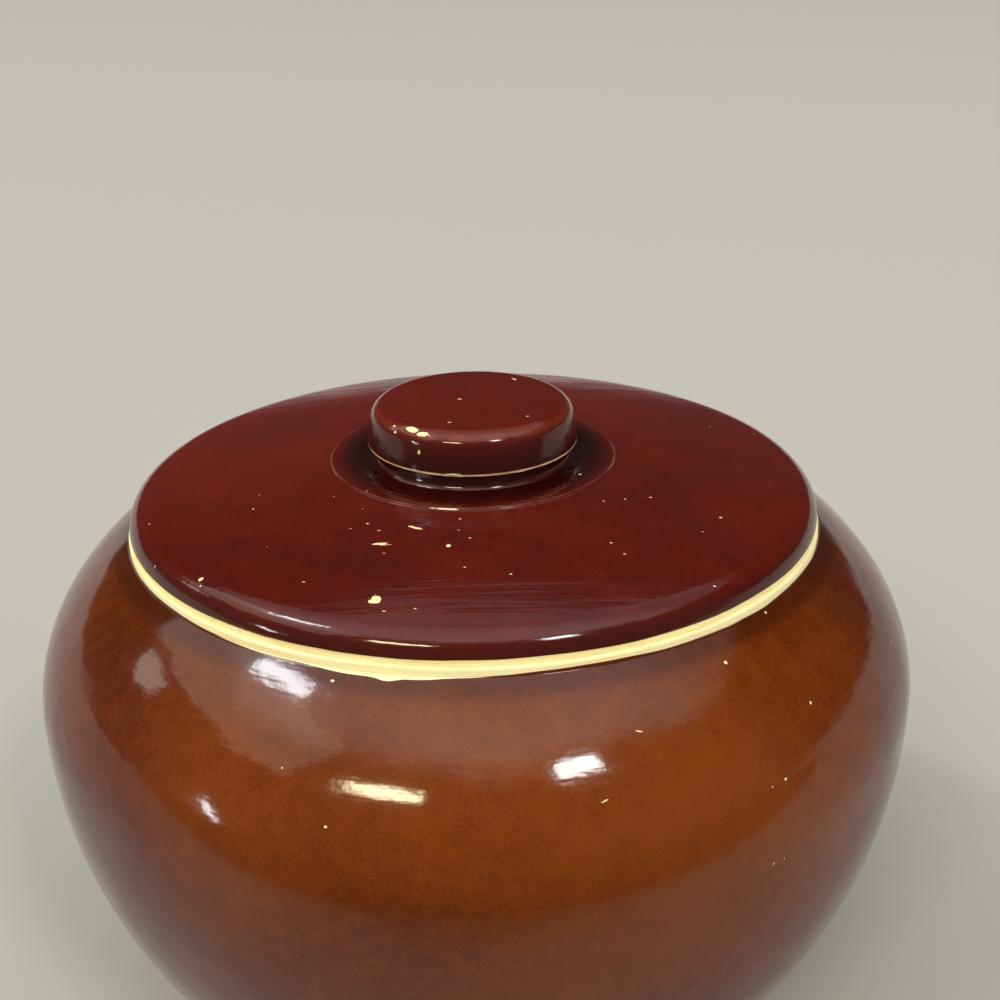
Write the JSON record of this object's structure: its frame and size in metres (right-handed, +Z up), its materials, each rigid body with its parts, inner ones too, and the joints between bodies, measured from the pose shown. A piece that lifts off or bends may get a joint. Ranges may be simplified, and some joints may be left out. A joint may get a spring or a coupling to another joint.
{
  "type": "bean pot",
  "caption": "Squat round-bellied stoneware bean pot with a brown glaze, a bare buff rim and a lift-off domed lid with a disc knob.",
  "frame": {"origin": "centre of the foot ring, on the plane that the pot stands on", "axes": "+Z up along the axis that the pot and its lid are turned about; +X and +Y are any two level directions"},
  "size_m": [0.2028, 0.2028, 0.1527],
  "materials": {
    "pot_stoneware": "thin glossy amber-brown glaze over buff stoneware, with a bare lip and foot ring",
    "lid_stoneware": "thick glossy dark red-brown glaze over buff stoneware, with a bare edge and seat"
  },
  "bodies": {
    "pot": {"pot": "pot_stoneware"},
    "lid": {"lid": "lid_stoneware"}
  },
  "joints": [
    {"name": "lid_lift", "type": "slide", "parent": "pot", "child": "lid", "axis": [0, 0, 1], "range_m": [0, 0.16]}
  ]
}
